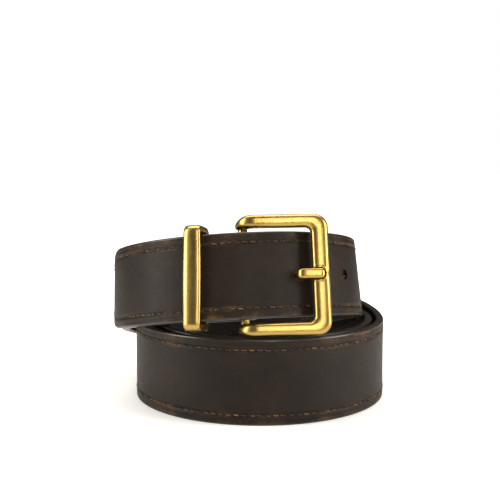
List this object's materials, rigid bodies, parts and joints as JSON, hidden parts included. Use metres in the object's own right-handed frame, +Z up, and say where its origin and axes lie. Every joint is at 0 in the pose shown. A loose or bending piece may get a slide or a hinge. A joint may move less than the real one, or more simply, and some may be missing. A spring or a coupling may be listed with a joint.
{
  "type": "leather belt",
  "caption": "Coiled and buckled leather dress belt: layered strap with stitched edges, heel-bar buckle with prong, and a metal keeper that slides on the strap.",
  "frame": {"origin": "centre of the coiled belt's footprint, on the surface that it stands on", "axes": "+Z up, square to the lower turns of the coil; the buckle faces -Y and +X is to the right of the buckle's front"},
  "size_m": [0.1231, 0.1174, 0.0845],
  "materials": {
    "leather_face": "satin dark brown with rubbed edges",
    "leather_core": "bonded leather with painted edges",
    "leather_lining": "matt split leather",
    "thread": "golden brown waxed thread",
    "brass_buckle": "antique satin",
    "brass_keeper": "antique satin",
    "brass_snaps": "antique satin"
  },
  "bodies": {
    "strap": {"strap_face": "leather_face", "strap_core": "leather_core", "strap_lining": "leather_lining", "face_stitching": "thread", "lining_stitching": "thread", "snap_caps": "brass_snaps", "snap_sockets": "brass_snaps", "snap_studs": "brass_snaps", "snap_posts": "brass_snaps"},
    "buckle": {"buckle_frame": "brass_buckle", "buckle_bar": "brass_buckle"},
    "prong": {"prong": "brass_buckle"},
    "keeper": {"keeper": "brass_keeper"}
  },
  "joints": [
    {"name": "buckle_hinge", "type": "hinge", "parent": "strap", "child": "buckle", "pos_m": [-0.00167, -0.04412, 0.05826], "axis": [0.032, -0.2588, -0.9654], "range_deg": [-1.8, 0]},
    {"name": "prong_hinge", "type": "hinge", "parent": "buckle", "child": "prong", "pos_m": [-0.00167, -0.04412, 0.05826], "axis": [0.032, -0.2588, -0.9654], "range_deg": [0, 4]},
    {"name": "keeper_travel", "type": "hinge", "parent": "strap", "child": "keeper", "pos_m": [-0.00415, -0.00105, 0.031], "axis": [-0.0532, 0.2133, 0.9755], "range_deg": [-4, 7]}
  ]
}
